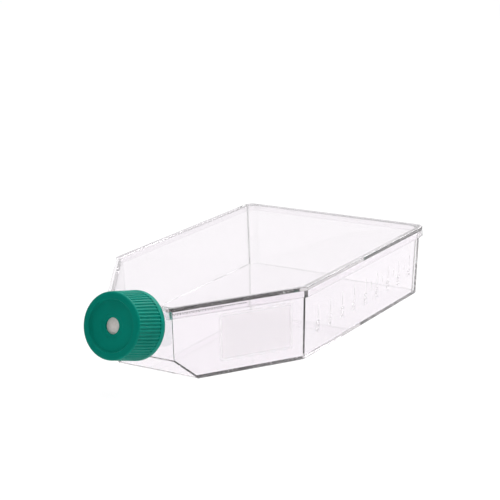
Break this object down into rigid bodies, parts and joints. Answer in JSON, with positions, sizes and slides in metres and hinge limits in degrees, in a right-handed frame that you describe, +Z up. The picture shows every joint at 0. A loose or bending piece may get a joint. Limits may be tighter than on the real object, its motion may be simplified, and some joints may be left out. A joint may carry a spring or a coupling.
{
  "type": "cell culture flask",
  "caption": "Clear lying flask with a canted neck and a vented screw cap, for growing cells on its flat floor.",
  "frame": {"origin": "on the bench, under the middle of the closed flask's length and width", "axes": "+Z up from the growth surface; the neck and cap point to -Y; +X is the side with the graduations"},
  "size_m": [0.1198, 0.2228, 0.0502],
  "materials": {
    "clear_body": "gloss",
    "clear_plate": "gloss",
    "green_cap": "satin",
    "filter_membrane": "matte",
    "raised_marks": "satin",
    "frosted_patch": "matte"
  },
  "bodies": {
    "flask": {"flask_body": "clear_body", "top_plate": "clear_plate"},
    "vent": {"vent_membrane": "filter_membrane"},
    "cap": {"screw_cap": "green_cap"}
  },
  "joints": [
    {"name": "cap_rise", "type": "slide", "parent": "flask", "child": "vent", "axis": [0, -0.9613, 0.2756], "range_m": [0, 0.01]},
    {"name": "cap_turn", "type": "hinge", "parent": "vent", "child": "cap", "pos_m": [0, -0.08548, 0.02828], "axis": [0, -0.9613, 0.2756], "range_deg": [0, 900]}
  ],
  "couplings": [
    {"joint": "cap_rise", "follows": "cap_turn", "m_per_rad": 0.00063661}
  ]
}
